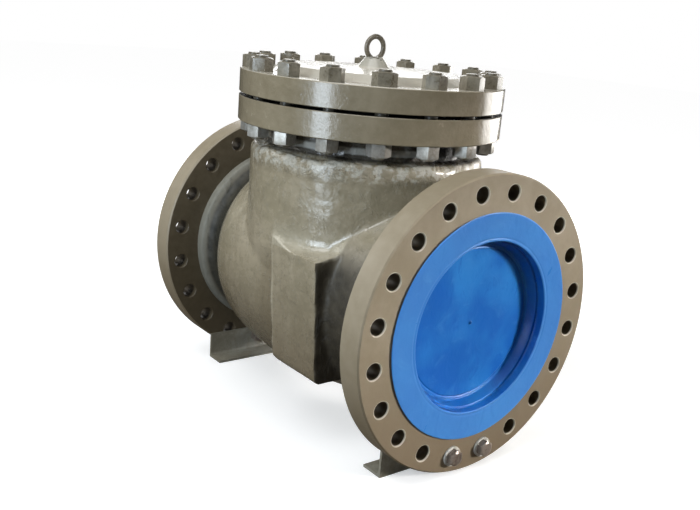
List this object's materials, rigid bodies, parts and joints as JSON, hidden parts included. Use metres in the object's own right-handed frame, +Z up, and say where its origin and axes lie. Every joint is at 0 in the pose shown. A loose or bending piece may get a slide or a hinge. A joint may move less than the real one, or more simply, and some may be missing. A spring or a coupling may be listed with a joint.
{
  "type": "swing non-return valve",
  "caption": "Large flanged swing non-return valve: a cast body with a bolted round cover, a hinged disc inside, a lifting ring, angle feet and blue plastic covers in both pipe ends.",
  "frame": {"origin": "centre of the bounding box at the soles of the feet", "axes": "+X along the pipe towards the inlet flange, +Y across the pipe, +Z up towards the cover"},
  "size_m": [0.896, 0.648, 0.89],
  "materials": {
    "body_paint": "semi-gloss taupe-grey enamel over rough cast steel",
    "stud_paint": "satin grey paint over steel fasteners",
    "foot_paint": "satin grey-green paint",
    "zinc": "dull zinc plating",
    "cap_plastic": "satin blue moulded plastic",
    "seat_steel": "machined stainless steel",
    "disc_steel": "cast and machined steel",
    "bush_bronze": "plain bronze",
    "gasket": "black gasket sheet"
  },
  "bodies": {
    "body": {"valve_body": "body_paint", "seat_ring": "seat_steel", "hinge_pin": "seat_steel", "pin_cotters": "seat_steel", "hinge_bracket": "disc_steel", "bracket_bolts": "seat_steel", "bonnet_gasket": "gasket", "bonnet_cover": "body_paint", "bonnet_studs": "stud_paint", "bonnet_nuts_upper": "stud_paint", "bonnet_nuts_lower": "stud_paint", "lifting_ring": "body_paint", "inlet_foot": "foot_paint", "inlet_foot_bolts": "zinc", "inlet_foot_washers": "zinc", "inlet_foot_nuts": "zinc", "outlet_foot": "foot_paint", "outlet_foot_bolts": "zinc", "outlet_foot_washers": "zinc", "outlet_foot_nuts": "zinc"},
    "flap": {"disc": "disc_steel", "disc_washer": "disc_steel", "disc_nut": "disc_steel", "disc_cotter": "disc_steel", "hinge_arm": "disc_steel", "hinge_bushes": "bush_bronze"},
    "inlet_cap": {"inlet_cap": "cap_plastic"},
    "outlet_cap": {"outlet_cap": "cap_plastic"}
  },
  "joints": [
    {"name": "disc_swing", "type": "hinge", "parent": "body", "child": "flap", "pos_m": [0.095, 0, 0.578], "axis": [0, 1, 0], "range_deg": [0, 55]},
    {"name": "inlet_cap_pull", "type": "slide", "parent": "body", "child": "inlet_cap", "axis": [1, 0, 0], "range_m": [0, 0.25]},
    {"name": "outlet_cap_pull", "type": "slide", "parent": "body", "child": "outlet_cap", "axis": [-1, 0, 0], "range_m": [0, 0.25]}
  ]
}
